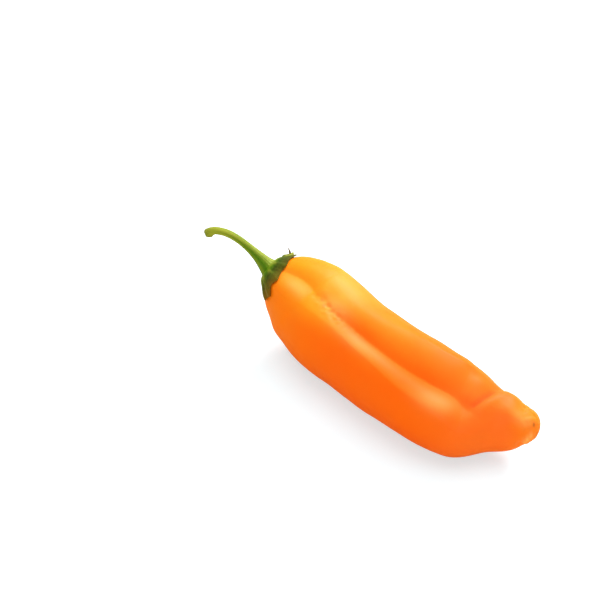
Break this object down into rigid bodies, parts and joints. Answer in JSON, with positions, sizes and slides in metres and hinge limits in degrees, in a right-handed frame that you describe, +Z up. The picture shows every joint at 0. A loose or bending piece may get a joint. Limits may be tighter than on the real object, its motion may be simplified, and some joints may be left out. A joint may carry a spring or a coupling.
{
  "type": "long sweet pepper",
  "caption": "Long sweet pepper lying on its side: a furrowed orange pod with a blunt folded tip and a curved green stalk.",
  "frame": {"origin": "under the middle of the pepper's bounding box, on the surface that it lies on", "axes": "+X from the stalk to the tip along the pepper, +Z up from the surface, +Y to the far side"},
  "size_m": [0.1949, 0.0563, 0.0613],
  "materials": {
    "pod_skin": "smooth waxy orange fruit skin, redder low on the sides and yellower on the crown and the tip",
    "stalk_green": "satin green stalk with light ribs, a darker leathery calyx and a dry cut end"
  },
  "bodies": {
    "root": {"pod": "pod_skin", "stalk_with_calyx": "stalk_green"}
  },
  "joints": []
}
